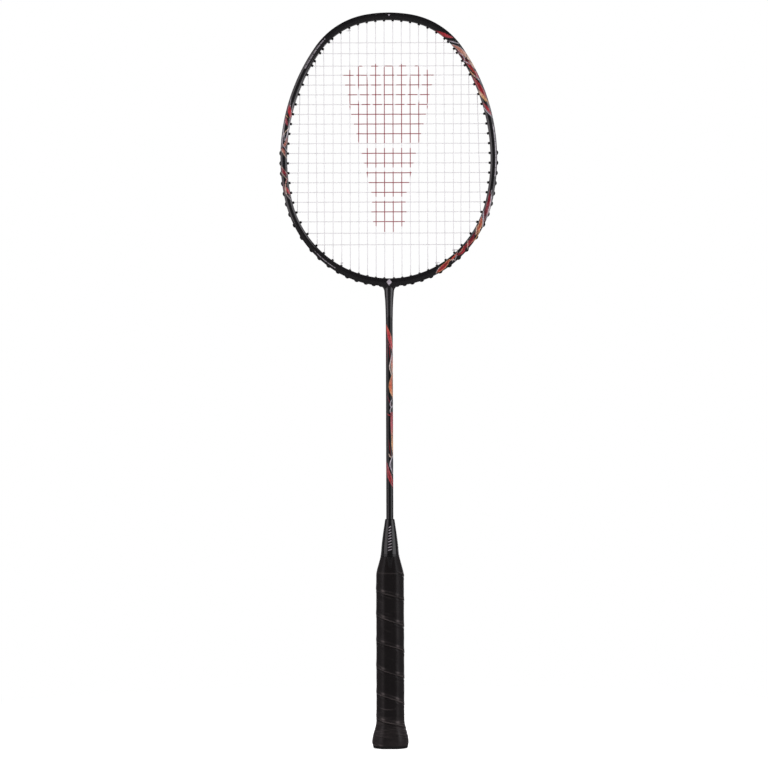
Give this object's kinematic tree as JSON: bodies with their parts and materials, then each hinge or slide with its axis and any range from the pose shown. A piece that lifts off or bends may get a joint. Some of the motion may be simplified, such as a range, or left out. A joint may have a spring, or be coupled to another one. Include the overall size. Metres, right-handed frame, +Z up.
{
  "type": "badminton racket",
  "caption": "Badminton racket: rounded-square strung head on a slim shaft, with a cone, a wrapped octagonal grip and a flared butt.",
  "frame": {"origin": "centre of the butt's end face", "axes": "+Z up the shaft from the butt to the crown of the head, +X across the face, +Y square to the face"},
  "size_m": [0.2012, 0.0318, 0.675],
  "materials": {
    "frame_lacquer": "gloss black lacquer over carbon fibre, with red, copper and silver flame decals",
    "shaft_lacquer": "gloss black lacquer over carbon fibre, with red, copper and silver flame decals",
    "cone_plastic": "moulded gloss black",
    "joint_metal": "machined",
    "core_wood": "sanded, unvarnished",
    "plug_rubber": "matt",
    "cap_plastic": "moulded matt black",
    "staple_steel": "bright wire",
    "grip_leather": "black synthetic leather, wound in a helix, slightly tacky sheen",
    "tape_plastic": "stretched vinyl tape, semi-gloss",
    "string_nylon": "white multifilament, with a red painted stencil",
    "grommet_plastic": "moulded black nylon"
  },
  "bodies": {
    "root": {"head_frame": "frame_lacquer", "t_joint": "joint_metal", "shaft": "shaft_lacquer", "shaft_end_plug": "plug_rubber", "shaft_cone": "cone_plastic", "handle_core": "core_wood", "balance_plug": "plug_rubber", "butt_cap": "cap_plastic", "grip_staples": "staple_steel", "grip_wrap": "grip_leather", "finishing_tape": "tape_plastic", "main_string": "string_nylon", "cross_string": "string_nylon", "main_string_knots": "string_nylon", "cross_string_knots": "string_nylon", "grommet_strip_crown": "grommet_plastic", "grommet_strip_shoulder_right": "grommet_plastic", "grommet_strip_shoulder_left": "grommet_plastic", "grommet_strip_flank_right": "grommet_plastic", "grommet_strip_flank_left": "grommet_plastic", "grommet_strip_throat_right": "grommet_plastic", "grommet_strip_throat_left": "grommet_plastic"}
  },
  "joints": []
}
